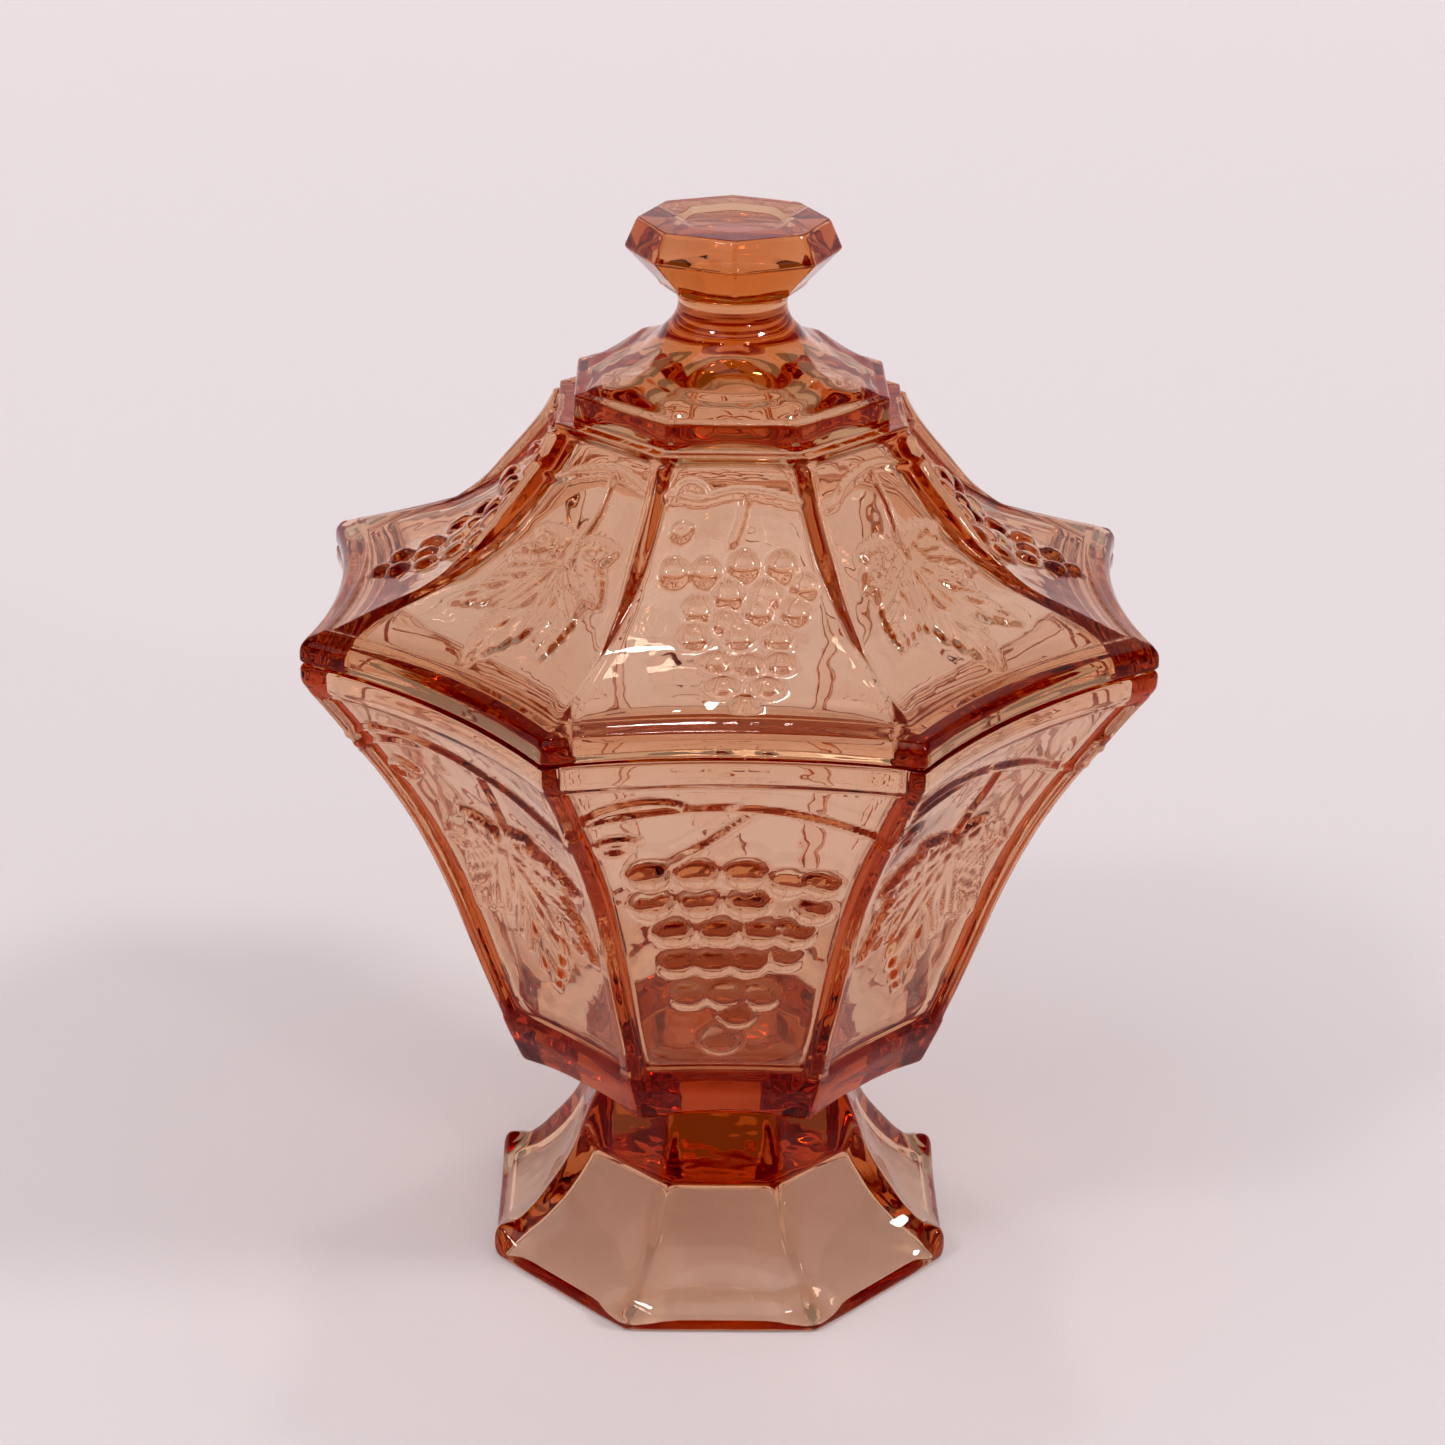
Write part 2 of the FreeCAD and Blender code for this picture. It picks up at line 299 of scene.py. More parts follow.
def cord(x, y, line, radius):
    """A raised rounded line, such as a vine, a stalk or a tendril."""
    nearest = np.full(x.shape, np.inf)
    for start, end in zip(line[:-1], line[1:]):
        along = end - start
        share = ((x - start[0]) * along[0] + (y - start[1]) * along[1]) / max(along @ along, 1e-9)
        share = np.clip(share, 0.0, 1.0)
        distance = np.hypot(x - start[0] - share * along[0], y - start[1] - share * along[1])
        nearest = np.minimum(nearest, distance)
    return CORD_HEIGHT * np.clip(1.0 - (nearest / radius) ** 2, 0.0, None) ** CORD_ROUNDNESS


def curl(centre_x, centre_y, radius, turns, start_angle):
    """Points of a tendril that winds inwards."""
    steps = int(turns * CURL_STEPS)
    points = []
    for step in range(steps + 1):
        share = step / steps
        angle = start_angle + turns * 2.0 * math.pi * share
        reach = radius * (1.0 - CURL_TIGHTENING * share)
        rise = reach * CURL_FLATTENING
        points.append((centre_x + reach * math.cos(angle), centre_y + rise * math.sin(angle)))
    return np.array(points)


def leaf_lobe(x, y, root, angle, length, half_width):
    """One lobe of a vine leaf: a sunk middle vein and long side veins that end in the teeth of its edge."""
    ahead = (x - root[0]) * math.cos(angle) + (y - root[1]) * math.sin(angle)
    across = np.abs(-(x - root[0]) * math.sin(angle) + (y - root[1]) * math.cos(angle))
    share = np.clip(ahead / length, 0.0, 1.0)
    tooth = length / TEETH
    side_vein = 0.5 + 0.5 * np.cos(2.0 * math.pi * (ahead - FEATHER * across) / tooth)
    plan = np.sin(math.pi * share ** LOBE_SWELL) ** LOBE_TAPER
    width = half_width * plan * (NOTCH_WIDTH + TOOTH_WIDTH * side_vein)
    inside = np.where((ahead > 0.0) & (ahead < length), width - across, -1.0)
    body = smooth_step(inside, 0.0, LOBE_EDGE)
    middle_vein = np.exp(-(across / VEIN_WIDTH) ** 2)
    doming = np.clip(across / half_width, 0.0, 1.0) ** 2
    veins = SIDE_VEIN_RISE * side_vein - MIDDLE_VEIN_SINK * middle_vein
    return body * (LOBE_GROUND + veins - EDGE_SINK * doming)


def leaf(x, y, root, lobes, height):
    result = np.zeros_like(x)
    for angle, length, half_width in lobes:
        result = np.maximum(result, leaf_lobe(x, y, root, math.radians(angle), length, half_width))
    return result * height


# ---- decoration: even sides carry grapes and odd sides a vine leaf ---------------------------
# On the bowl the second number of a point is a height; on the lid it is a distance up the slope.
BOWL_GRAPES = (   # height, radius, positions across the panel
    (112.8, 4.4, (-15.2, -6.4, 3.0)), (110.6, 3.8, (11.0, 17.4)), (104.8, 4.3, (-14.6, -5.6, 3.6)),
    (103.6, 3.7, (16.0,)), (97.2, 4.0, (-10.4, -2.0, 6.0, 12.4)), (89.0, 3.7, (-9.6, -2.8, 4.0)),
    (90.6, 3.4, (10.8,)), (80.6, 3.8, (-7.4, -0.4, 6.6)), (75.6, 4.0, (2.0,)), (68.6, 4.3, (-1.0,)),
)
BOWL_VINE = ((-36.0, 125.0), (-30.0, 126.2), (-24.0, 128.6), (-12.0, 130.4), (-2.0, 131.2), (8.0, 130.4),
             (16.4, 128.6), (24.0, 126.2), (30.0, 124.0), (36.0, 125.0))
BOWL_VINE_LOOP = ((-29.0, 127.0), (-24.0, 131.2), (-17.0, 133.2), (-11.0, 132.6), (-8.0, 130.8))
BOWL_STALK = ((-12.0, 115.2), (-4.0, 121.4), (4.0, 129.6))
BOWL_CURL = (-21.5, 121.0, 4.0, 1.3, 0.4)      # centre, radius, turns, start angle
BOWL_LEAF_ARCH = ((-36.0, 125.0), (-30.0, 128.6), (-22.0, 131.8), (-12.0, 132.0), (0.0, 130.2),
                  (12.0, 127.2), (22.0, 122.8), (28.0, 122.0), (36.0, 125.0))
BOWL_LEAF_LOOP = ((-30.0, 126.0), (-22.0, 128.6), (-12.0, 130.4), (-6.0, 131.0))
BOWL_LEAF_STEM = ((3.0, 129.4), (1.4, 118.0), (-0.6, 107.0))
BOWL_LEAF_ROOT = (-0.5, 108.0)
BOWL_LOBES = (    # direction in degrees, length, half width
    (-88.0, 38.0, 9.4), (-52.0, 30.0, 8.0), (-128.0, 28.0, 8.0), (-8.0, 21.0, 7.0), (-172.0, 20.0, 7.0),
    (38.0, 13.0, 4.8), (146.0, 14.0, 4.8),
)
LID_GRAPES = (    # distance up the slope, radius, positions across the panel
    (37.0, 3.1, (2.0, 9.4)), (35.6, 3.0, (-11.0, -5.0)), (33.2, 2.8, (13.4,)), (31.2, 3.2, (-0.8, 6.4)),
    (28.0, 3.0, (-6.4, 4.8, 11.6)), (25.2, 2.9, (-1.4,)), (22.2, 3.1, (-7.2, 1.0, 8.3)),
    (15.8, 2.9, (-3.0, 8.8)), (15.0, 2.9, (2.8,)), (9.2, 2.8, (-2.0, 6.2)), (4.9, 2.5, (2.0,)),
)
LID_VINE = ((-24.0, 49.6), (-17.0, 49.4), (-12.0, 50.6), (-6.0, 49.8), (0.0, 51.2), (6.0, 51.0),
            (12.0, 49.6), (18.0, 49.8), (24.0, 49.6))
LID_ARCH = ((-11.0, 50.4), (-9.5, 52.6), (-7.5, 53.0), (-5.6, 51.8), (-5.0, 50.2))
LID_CURL = (-9.6, 43.6, 2.0, 1.2, 0.6)
LID_STALK = ((2.4, 50.6), (1.6, 46.0), (0.0, 41.4))
LID_LEAF_VINE = ((-24.0, 49.6), (-16.0, 48.4), (-10.0, 48.0), (-5.0, 50.6), (3.0, 52.6), (10.0, 51.6),
                 (16.0, 50.4), (24.0, 49.6))
LID_LEAF_STEM = ((3.0, 51.8), (3.4, 43.0), (1.2, 34.0))
LID_LEAF_ROOT = (1.0, 33.0)
LID_LOBES = (
    (-92.0, 31.0, 7.5), (-58.0, 27.0, 6.2), (-136.0, 25.0, 6.2), (-20.0, 17.0, 5.6), (-172.0, 15.0, 5.6),
    (24.0, 14.0, 4.6), (156.0, 12.0, 4.2),
)


def bowl_relief(x, y, side, lift):
    """Decoration of one bowl panel; lift turns a height into a distance up the panel."""

    def lifted(point):
        return (point[0], float(lift(point[1])))

    if side % 2 == 0:
        rows = [(float(lift(height)), radius, centres) for height, radius, centres in BOWL_GRAPES]
        result = grapes(x, y, rows)
        cords = (BOWL_VINE, BOWL_VINE_LOOP, BOWL_STALK)
    else:
        result = leaf(x, y, lifted(BOWL_LEAF_ROOT), BOWL_LOBES, BOWL_LEAF_HEIGHT)
        cords = (BOWL_LEAF_ARCH, BOWL_LEAF_LOOP, BOWL_LEAF_STEM)
    lines = [smooth_line([lifted(point) for point in points]) for points in cords]
    lines.append(curl(*lifted(BOWL_CURL[:2]), *BOWL_CURL[2:]))
    for line in lines:
        result = np.maximum(result, cord(x, y, line, BOWL_CORD))
    return result


def lid_relief(x, y, side):
    """Decoration of one lid panel."""
    if side % 2 == 0:
        result = grapes(x, y, LID_GRAPES)
        lines = [smooth_line(LID_VINE), smooth_line(LID_ARCH), smooth_line(LID_STALK), curl(*LID_CURL)]
    else:
        result = leaf(x, y, LID_LEAF_ROOT, LID_LOBES, LID_LEAF_HEIGHT)
        lines = [smooth_line(LID_LEAF_VINE), smooth_line(LID_LEAF_STEM)]
    for line in lines:
        result = np.maximum(result, cord(x, y, line, LID_CORD))
    return result


# ---- skins: closed meshes made of rows -----------------------------------------------------
class Skin:
    """Collects rings of points into one closed mesh, from its first pole to its last."""

    def __init__(self):
        self.points = []
        self.faces = []
        self.count = 0
        self.tip = None           # index of the first pole
        self.last = None          # indices and stations of the ring added last

    def add_points(self, points):
        first = self.count
        self.points.append(np.asarray(points, float))
        self.count += len(points)
        return np.arange(first, self.count)

    def start(self, height):
        self.tip = self.add_points([(0.0, 0.0, height)])[0]

    def close(self, height):
        tip = self.add_points([(0.0, 0.0, height)])[0]
        indices = self.last[0]
        self.faces.extend((a, b, tip) for a, b in zip(indices, np.roll(indices, -1)))

    def ring(self, points, place):
        indices = self.add_points(points)
        if self.last is None:
            self.faces.extend((self.tip, b, a) for a, b in zip(indices, np.roll(indices, -1)))
        elif len(self.last[0]) == len(indices):
            below, next_below = self.last[0], np.roll(self.last[0], -1)
            above, next_above = indices, np.roll(indices, -1)
            self.faces.extend(zip(below, next_below, next_above, above))
        else:
            self.bridge(self.last, (indices, place))
        self.last = (indices, place)

    def bridge(self, lower, upper):
        """Joins two rings with different numbers of points by triangles."""
        low_index, low_place = lower
        high_index, high_place = upper
        low_at = np.append(low_place, low_place[0] + SIDES)
        high_at = np.append(high_place, high_place[0] + SIDES)
        low, high = 0, 0
        while low < len(low_index) or high < len(high_index):
            a = low_index[low % len(low_index)]
            b = high_index[high % len(high_index)]
            high_done = high >= len(high_index)
            if high_done or (low < len(low_index) and low_at[low + 1] <= high_at[high + 1]):
                low += 1
                self.faces.append((a, low_index[low % len(low_index)], b))
            else:
                high += 1
                self.faces.append((a, high_index[high % len(high_index)], b))

    def rows(self, rows, turn=0.0, shift=0, circle_below=0.0):
        """Adds plain rows; those with a corner radius below circle_below turn into circles."""
        for row in rows:
            points = ring(row, PLAIN, turn)[0]
            share = min(1.0, max(0.0, (circle_below - row[0]) / CIRCLE_BLEND))
            radius = np.hypot(points[:, 0], points[:, 1])
            points[:, :2] *= (1.0 + share * (row[0] * CIRCLE_SHARE / radius - 1.0))[:, None]
            self.ring(np.roll(points, -shift, axis=0), stations(row, PLAIN))

    def relief(self, rows, height_of):
        """Adds fine rows whose points are moved along the skin's normal by height_of(side, offsets)."""
        made = [ring(row, FINE) for row in rows]
        grid = np.array([points for points, _sides, _offsets in made])
        sides = made[0][1]
        offsets = np.array([offset for _points, _sides, offset in made])
        around = np.roll(grid, -1, axis=1) - np.roll(grid, 1, axis=1)
        upward = np.gradient(grid, axis=0)
        normals = np.cross(around, upward)
        normals /= np.linalg.norm(normals, axis=2, keepdims=True)
        raised = np.zeros(grid.shape[:2])
        for side in range(SIDES):
            mine = sides == side
            raised[:, mine] = height_of(side, offsets[:, mine])
        grid = grid + normals * raised[:, :, None]
        for row, points in zip(rows, grid):
            self.ring(points, stations(row, FINE))

    def make(self, name):
        mesh = bpy.data.meshes.new(name)
        points = np.concatenate(self.points) * MM
        mesh.from_pydata(points.tolist(), [], [tuple(int(i) for i in face) for face in self.faces])
        mesh.validate()
        mesh.update()
        mesh.polygons.foreach_set("use_smooth", [True] * len(mesh.polygons))
        piece = bpy.data.objects.new(name, mesh)
        bpy.context.scene.collection.objects.link(piece)
        return piece


# ---- footed bowl ---------------------------------------------------------------------------
FOOT_OUTLINE = (   # corner point, side's middle point, power, rounding
    ((52.8, 0.6), (48.8, 0.3), 3.0, 4.0), ((53.1, 2.4), (48.9, 0.9), 3.0, 4.0),
    ((53.0, 5.0), (48.7, 1.7), 3.0, 4.0), ((52.2, 6.9), (48.0, 2.8), 3.0, 4.0),
    ((50.4, 7.7), (46.2, 4.5), 3.2, 5.0), ((47.6, 8.2), (42.8, 6.8), 3.0, 7.0),
    ((44.2, 11.0), (39.5, 9.4), 2.6, 8.0), ((40.8, 15.1), (36.6, 12.9), 2.4, 8.0),
    ((37.6, 19.1), (33.9, 17.0), 2.2, 7.0), ((34.9, 23.2), (31.6, 21.4), 2.0, 6.0),
    ((32.6, 28.2), (29.6, 27.2), 2.0, 4.0), ((30.6, 33.2), (27.6, 32.8), 2.0, 3.0),
    ((28.2, 38.0), (25.4, 38.0), 2.0, 3.0), ((26.2, 42.4), (23.6, 42.4), 2.0, 3.0),
    ((26.0, 45.4), (23.6, 45.4), 2.0, 3.0), ((28.2, 47.2), (25.6, 47.3), 2.0, 3.0),
)
BOWL_OUTLINE = ((50.4, 59.0), (53.9, 68.4), (57.4, 78.3), (60.8, 88.2), (64.7, 98.0), (69.4, 108.0),
                (75.0, 117.7), (79.8, 124.8), (84.8, 132.2), (89.2, 138.4))
VINE_HEIGHTS = (118.0, 134.5)          # the bowl's vine lies between these and gets closer rows
WALL_ROUNDING = 2.5
INSIDE_ROUNDING = 9.0
INSIDE_START = 75.0                    # above this the inside follows the outside
INSIDE_FOOT = ((47.8, 69.0, 1.2), (45.2, 61.6, 0.9), (41.0, 56.8, 0.6), (34.0, 54.0, 0.3), (26.0, 53.1, 0.1))


def bow_at(radius):
    """How far the sides pull in at a given corner radius, between the bowl's base and its rim."""
    share = (radius - BASE_RADIUS) / (RIM - BASE_RADIUS)
    return BASE_BOW + (RIM_BOW - BASE_BOW) * share


def foot_hollow_rows():
    return rounded([
        (level(0.8, FOOT_ROOF), 0.0), (level(27.6, FOOT_ROOF), 1.6), (level(29.6, 18.4), 3.0),
        (level(35.0, 10.8), 6.0), (level(41.6, 4.8), 4.0), (level(47.6, 0.9), 0.8), (level(48.4, 0.0), 0.6),
        (level(52.3, 0.0, 0.2), 0.3),
    ], spacing=2.2)


def foot_rows():
    """Outside of the foot and stem: rounded toes at the corners and scooped fans between them."""
    return splined([swept(*point) for point in FOOT_OUTLINE], steps=3)


def underside_rows():
    return rounded([(level(29.6, 47.35), 0.0), (level(42.6, 47.2, 0.4), 0.0)], spacing=2.6)


def base_rows():
    """The thick band around the bottom of the bowl."""
    return rounded([
        (swept((44.0, 47.2), (44.0 * FLAT - BASE_BOW, 47.9), 2.0, 3.0), 0.0),
        (swept((46.0, 47.3), (46.0 * FLAT - BASE_BOW, 48.2), 2.0, 3.0), 1.6),
        (level(49.4, 55.4, BASE_BOW, 2.5), 1.5), (level(50.3, 58.2, bow_at(50.3)), 0.6),
    ], spacing=1.2)


def wall_corners():
    return [level(radius, height, bow_at(radius), WALL_ROUNDING) for radius, height in BOWL_OUTLINE]


def wall_rows():
    """The bowl's flared wall, with closer rows where the vine runs."""
    outline = splined(wall_corners(), steps=8)
    low, high = VINE_HEIGHTS
    below = [row for row in outline if row[1] <= low]
    between = [row for row in outline if low < row[1] <= high]
    above = [row for row in outline if row[1] > high]
    return evenly(below, spacing=1.0) + evenly(between, spacing=0.6) + evenly(above, spacing=1.0)


def bowl_rim_rows():
    return rounded([
        (level(89.5, 138.9, RIM_BOW, 3.5), 0.0), (level(RIM - 0.1, SEAT - 3.6, RIM_BOW, 4.5), 1.6),
        (level(RIM, SEAT - 0.1, RIM_BOW, 4.5), 1.7), (level(RIM - 2.4, SEAT, RIM_BOW, 4.5), 0.0),
    ], spacing=0.9)


def mouth_rows():
    """The top of the rim, turning down into the inside."""
    mouth = RIM - WALL
    return rounded([
        (level(RIM - 3.6, SEAT, RIM_BOW, 4.0), 0.0), (level(mouth, SEAT, RIM_BOW, INSIDE_ROUNDING), 1.2),
        (level(mouth - 0.3, SEAT - 5.0, RIM_BOW, INSIDE_ROUNDING), 0.0),
    ], spacing=1.2)


def bowl_inside_rows():
    """Inside of the bowl: one wall in from the outside, then rounded into the floor."""
    inside = [level(row[0] - WALL, row[1], bow_at(row[0]), INSIDE_ROUNDING)
              for row in wall_corners()[::-1] if row[1] > INSIDE_START]
    inside += [level(radius, height, bow, INSIDE_ROUNDING) for radius, height, bow in INSIDE_FOOT]
    return evenly(splined(inside, steps=4), spacing=2.6)


def bowl_floor_rows():
    return rounded([
        (level(23.0, BOWL_FLOOR, 0.0, INSIDE_ROUNDING), 0.0), (level(1.0, BOWL_FLOOR), 0.0),
    ], spacing=2.6)


def bowl_height(rows):
    """Gives the bowl's relief as a function of side and offset, on the given rows."""
    heights = np.array([row[1] for row in rows])
    climb = climb_along(np.array([row[2] for row in rows]), heights)
    lengths = side_lengths(rows)

    def lift(height):
        return np.interp(height, heights, climb)

    def height_of(side, x):
        y = np.repeat(climb[:, None], x.shape[1], axis=1)
        z = np.repeat(heights[:, None], x.shape[1], axis=1)
        from_corner = lengths[:, None] / 2.0 - np.abs(x)
        rib = 1.0 - smooth_step(from_corner, RIB_HALF, RIB_EDGE)
        below = 1.0 - smooth_step(z, PANEL_LOW, PANEL_LOW + PANEL_EDGE)
        above = smooth_step(z, PANEL_HIGH, PANEL_HIGH + PANEL_EDGE)
        border = np.maximum(np.maximum(rib, below), above)
        decoration = bowl_relief(x, y, side, lift)
        return PANEL_STEP * (border - 1.0) + decoration * (1.0 - DECORATION_FADE * border)

    return height_of


def make_bowl():
    """One closed skin: from the foot's hollow, round the outside, over the rim and down to the floor."""
    skin = Skin()
    skin.start(FOOT_ROOF)
    skin.rows(foot_hollow_rows())
    skin.rows(foot_rows())
    skin.rows(underside_rows())
    outside = base_rows() + wall_rows() + bowl_rim_rows()
    skin.relief(outside, bowl_height(outside))
    skin.rows(mouth_rows())
    skin.rows(bowl_inside_rows())
    skin.rows(bowl_floor_rows())
    skin.close(BOWL_FLOOR)
    return skin.make("footed_bowl_glass")


# ---- lid -----------------------------------------------------------------------------------
CEILING_OUTLINE = (   # radius, height, bow, rounding, from under the neck outwards
    (1.0, CROWN, 0.0, 0.5), (8.0, 193.4, 0.0, 2.0), (16.0, 191.0, 0.0, 4.0), (23.6, 188.4, 0.0, 6.0),
    (27.4, 186.8, 0.0, 6.0), (30.0, 184.2, 0.2, 6.0), (33.4, 178.6, 0.3, 6.0), (38.2, 172.2, 0.6, 6.0),
    (43.6, 166.2, 0.9, 6.0), (49.6, 161.0, 1.2, 6.0), (56.0, 157.0, 1.8, 6.0), (63.0, 153.8, 2.6, 6.0),
    (70.0, 151.2, 3.4, 6.0), (75.0, 149.0, 4.0, 6.0),
)
CEILING_CIRCLE = 28.0                  # within this radius the ceiling turns round
FLANGE_DEPTH = 3.6                     # how far the flange drops into the bowl
ROOF_OUTLINE = ((86.4, 150.4), (82.0, 152.0), (73.5, 155.0), (64.0, 158.2), (58.6, 161.2), (54.0, 164.5),
                (48.7, 169.8), (44.5, 174.5), (40.8, 179.2), (38.2, 183.6), (37.4, 186.0))
LID_VINE_START = 176.0                 # the lid's vine lies above this and gets closer rows
RIDGE_CURVE = ((31.2, 193.0), (29.2, 196.0), (25.2, 197.6), (21.4, 198.8), (18.0, 200.2), (15.4, 201.6),
               (13.4, 203.2), (12.0, 204.8), (11.1, 206.6), (10.8, 208.2), (11.1, 209.8), (11.8, 211.2))
PETAL_CURVE = ((13.4, 203.2), (15.0, 201.0), (18.0, 198.2), (22.0, 195.8), (27.0, 194.0), (31.2, 192.9))
PETAL_SPREAD = ((13.4, 0.0), (14.5, 25.0), (17.0, 34.0), (21.5, 41.0), (31.2, 44.6))   # radius, half angle
PETAL_ROUNDNESS = 2.4
DOME_CIRCLE_BLEND = 7.0                # run of radius in which the dome turns from octagon to circle
KNOB_CREASE = 20.0                     # a corner radius of the knob, to count its columns at


def ceiling_rows():
    return evenly(splined([level(*point) for point in CEILING_OUTLINE], steps=5), spacing=2.0)


def flange_rows():
    """From the ceiling down the inside of the flange, under it and out to the seat."""
    flange_bottom = LID_BOTTOM - FLANGE_DEPTH
    return rounded([
        (level(77.2, 147.0, 4.3, 6.0), 0.0), (level(78.8, 144.6, RIM_BOW, 6.0), 1.5),
        (level(79.4, flange_bottom, RIM_BOW, 6.0), 1.0), (level(82.2, flange_bottom, RIM_BOW, 5.0), 1.0),
        (level(82.5, LID_BOTTOM, RIM_BOW, 5.0), 0.5), (level(87.0, LID_BOTTOM, RIM_BOW, 3.0), 0.0),
    ], spacing=1.2)


def lid_rim_rows():
    return rounded([
        (level(RIM - 2.4, LID_BOTTOM, RIM_BOW, 4.5), 0.0), (level(RIM, LID_BOTTOM + 0.1, RIM_BOW, 4.5), 1.5),
        (level(RIM - 0.1, LID_BOTTOM + 3.4, RIM_BOW, 4.5), 1.6),
        (level(RIM - 1.6, LID_BOTTOM + 4.9, RIM_BOW, 4.0), 1.4), (level(86.8, 150.2, RIM_BOW, 3.0), 0.0),
    ], spacing=0.8)


def roof_rows():
    """The lid's slope, with closer rows where the vine runs."""
    outline = splined([level(radius, height, bow_at(max(radius, BASE_RADIUS)), WALL_ROUNDING)
                       for radius, height in ROOF_OUTLINE], steps=8)
    low_roof = [row for row in outline if row[1] <= LID_VINE_START]
    vine_roof = [row for row in outline if row[1] > LID_VINE_START]
    return evenly(low_roof, spacing=0.82) + evenly(vine_roof, spacing=0.56)


def lip_rows():
    return rounded([
        (level(37.3, LIP_HEIGHT - 1.0, 0.4), 0.0), (level(37.6, LIP_HEIGHT, 0.2), 0.6),
        (level(35.6, LIP_HEIGHT), 0.0),
    ], spacing=0.6)


def collar_rows():
    return rounded([
        (level(35.2, LIP_HEIGHT - 0.1), 0.0), (level(COLLAR_RADIUS, LIP_HEIGHT - 0.3), 0.5),
        (level(COLLAR_RADIUS, COLLAR_TOP), 0.7), (level(31.6, COLLAR_TOP + 0.3), 0.0),
    ], spacing=0.7)


def knob_rows():
    return rounded([
        (level(14.6, 211.8), 0.0), (level(15.0, 212.6), 0.4), (level(21.5, 219.2), 0.5),
        (level(19.2, TOTAL - 0.6), 0.4), (level(18.7, TOTAL), 0.3), (level(11.6, TOTAL, 0.0, 8.0), 0.6),
        (level(10.0, TOTAL - 0.8, 0.0, 12.0), 1.0), (level(0.6, KNOB_TABLE), 0.0),
    ], spacing=0.75)


def roof_height(rows):
    """Gives the lid's relief as a function of side and offset, on the given rows."""
    heights = np.array([row[3] for row in rows])
    climb = climb_along(np.array([row[2] for row in rows]), heights)
    climb = climb - np.interp(ROOF_START, heights, climb)
    finish = np.interp(ROOF_FINISH, heights, climb)
    lengths = side_lengths(rows)

    def height_of(side, x):
        y = np.repeat(climb[:, None], x.shape[1], axis=1)
        from_corner = lengths[:, None] / 2.0 - np.abs(x)
        rib_half = LID_RIB_HALF * smooth_step(y, *LID_RIB_TAPER)
        rib = np.clip(1.0 - from_corner / np.maximum(rib_half, 0.1), 0.0, 1.0)
        border = np.maximum(1.0 - smooth_step(y, *ROOF_STEP_LOW), smooth_step(y - finish, *ROOF_STEP_HIGH))
        ground = ROOF_STEP * (border - 1.0)
        raised = LID_RIB_SLOPE * rib_half * rib ** LID_RIB_CREST * (1.0 - border)
        return ground + np.maximum(raised, lid_relief(x, y, side))

    return height_of


def dome_rows(skin):
    """Concave dome from the octagonal collar to the round neck, scooped into four petals."""
    petal_radii, petal_heights = zip(*PETAL_CURVE)
    spread_radii, spreads = zip(*PETAL_SPREAD)
    petal_top = petal_heights[0]
    dome_radius = RIDGE_CURVE[0][0]
    ridge = splined([level(radius, height) for radius, height in RIDGE_CURVE], steps=5)
    for row in evenly(ridge, spacing=0.6):
        points = ring(row, PLAIN)[0]
        angle = np.arctan2(points[:, 0], -points[:, 1])
        share = float(np.clip((dome_radius - row[0]) / DOME_CIRCLE_BLEND, 0.0, 1.0))
        circle = row[0] * (1.0 - (1.0 - CIRCLE_SHARE) * (1.0 - share))
        reach = np.hypot(points[:, 0], points[:, 1]) * (1.0 - share) + circle * share
        height = points[:, 2]
        if row[1] < petal_top:
            spread = float(np.interp(row[0], spread_radii, spreads))
            quarter = np.degrees(np.abs((angle + math.pi / 4.0) % (math.pi / 2.0) - math.pi / 4.0))
            across = np.clip(quarter / max(spread, 0.1), 0.0, 1.0)
            sunk = row[1] - float(np.interp(row[0], petal_radii, petal_heights))
            height = height - sunk * (1.0 - across ** PETAL_ROUNDNESS)
        placed = np.column_stack([np.sin(angle) * reach, -np.cos(angle) * reach, height])
        skin.ring(placed, stations(row, PLAIN))


def make_lid():
    """One closed skin: from the ceiling, round the flange and rim, up the slope to the knob's top."""
    skin = Skin()
    skin.start(CROWN)
    skin.rows(ceiling_rows(), circle_below=CEILING_CIRCLE)
    skin.rows(flange_rows())
    slope = lid_rim_rows() + roof_rows()[1:] + lip_rows()[:-1]
    skin.relief(slope, roof_height(slope))
    skin.rows(collar_rows())
    dome_rows(skin)
    columns_per_half_side = len(stations(level(KNOB_CREASE, 0.0), PLAIN)) // (2 * SIDES)
    skin.rows(knob_rows(), turn=-HALF_SIDE, shift=columns_per_half_side)
    skin.close(KNOB_TABLE)
    return skin.make("lid_glass")


# ---- materials -----------------------------------------------------------------------------
SURFACE_TINT = (0.95, 0.875, 0.83, 1.0)
DEPTH_TINT = (0.87, 0.51, 0.15, 1.0)
DEPTH_DENSITY = 76.0                   # per metre
GLASS_IOR = 1.51
RIPPLE_SCALE = 70.0
RIPPLE_DETAIL = 2.0
RIPPLE_STRENGTH = 0.36
RIPPLE_DEPTH = 0.0008
SHEET_COLOUR = (0.72, 0.655, 0.66, 1.0)
# Colour of the sheet's painted glow, an emission that stands in for fill light in the dish's shade.
SHEET_PAINTED_GLOW_COLOUR = (0.72, 0.655, 0.65, 1.0)
SHEET_PAINTED_GLOW = 0.16                      # painted glow: the sheet emits light of its own, which lifts the shade around and under the dish
SHEET_ROUGHNESS = 0.9
SHEET_SHEEN = 0.2


def new_material(name):
    """A material with a bare Principled shader; returns it, its nodes' tree, the shader and the output."""
    material = bpy.data.materials.new(name)
    material.use_nodes = True
    tree = material.node_tree
    tree.nodes.clear()
    output = tree.nodes.new("ShaderNodeOutputMaterial")
    shader = tree.nodes.new("ShaderNodeBsdfPrincipled")
    tree.links.new(shader.outputs["BSDF"], output.inputs["Surface"])
    return material, tree, shader, output


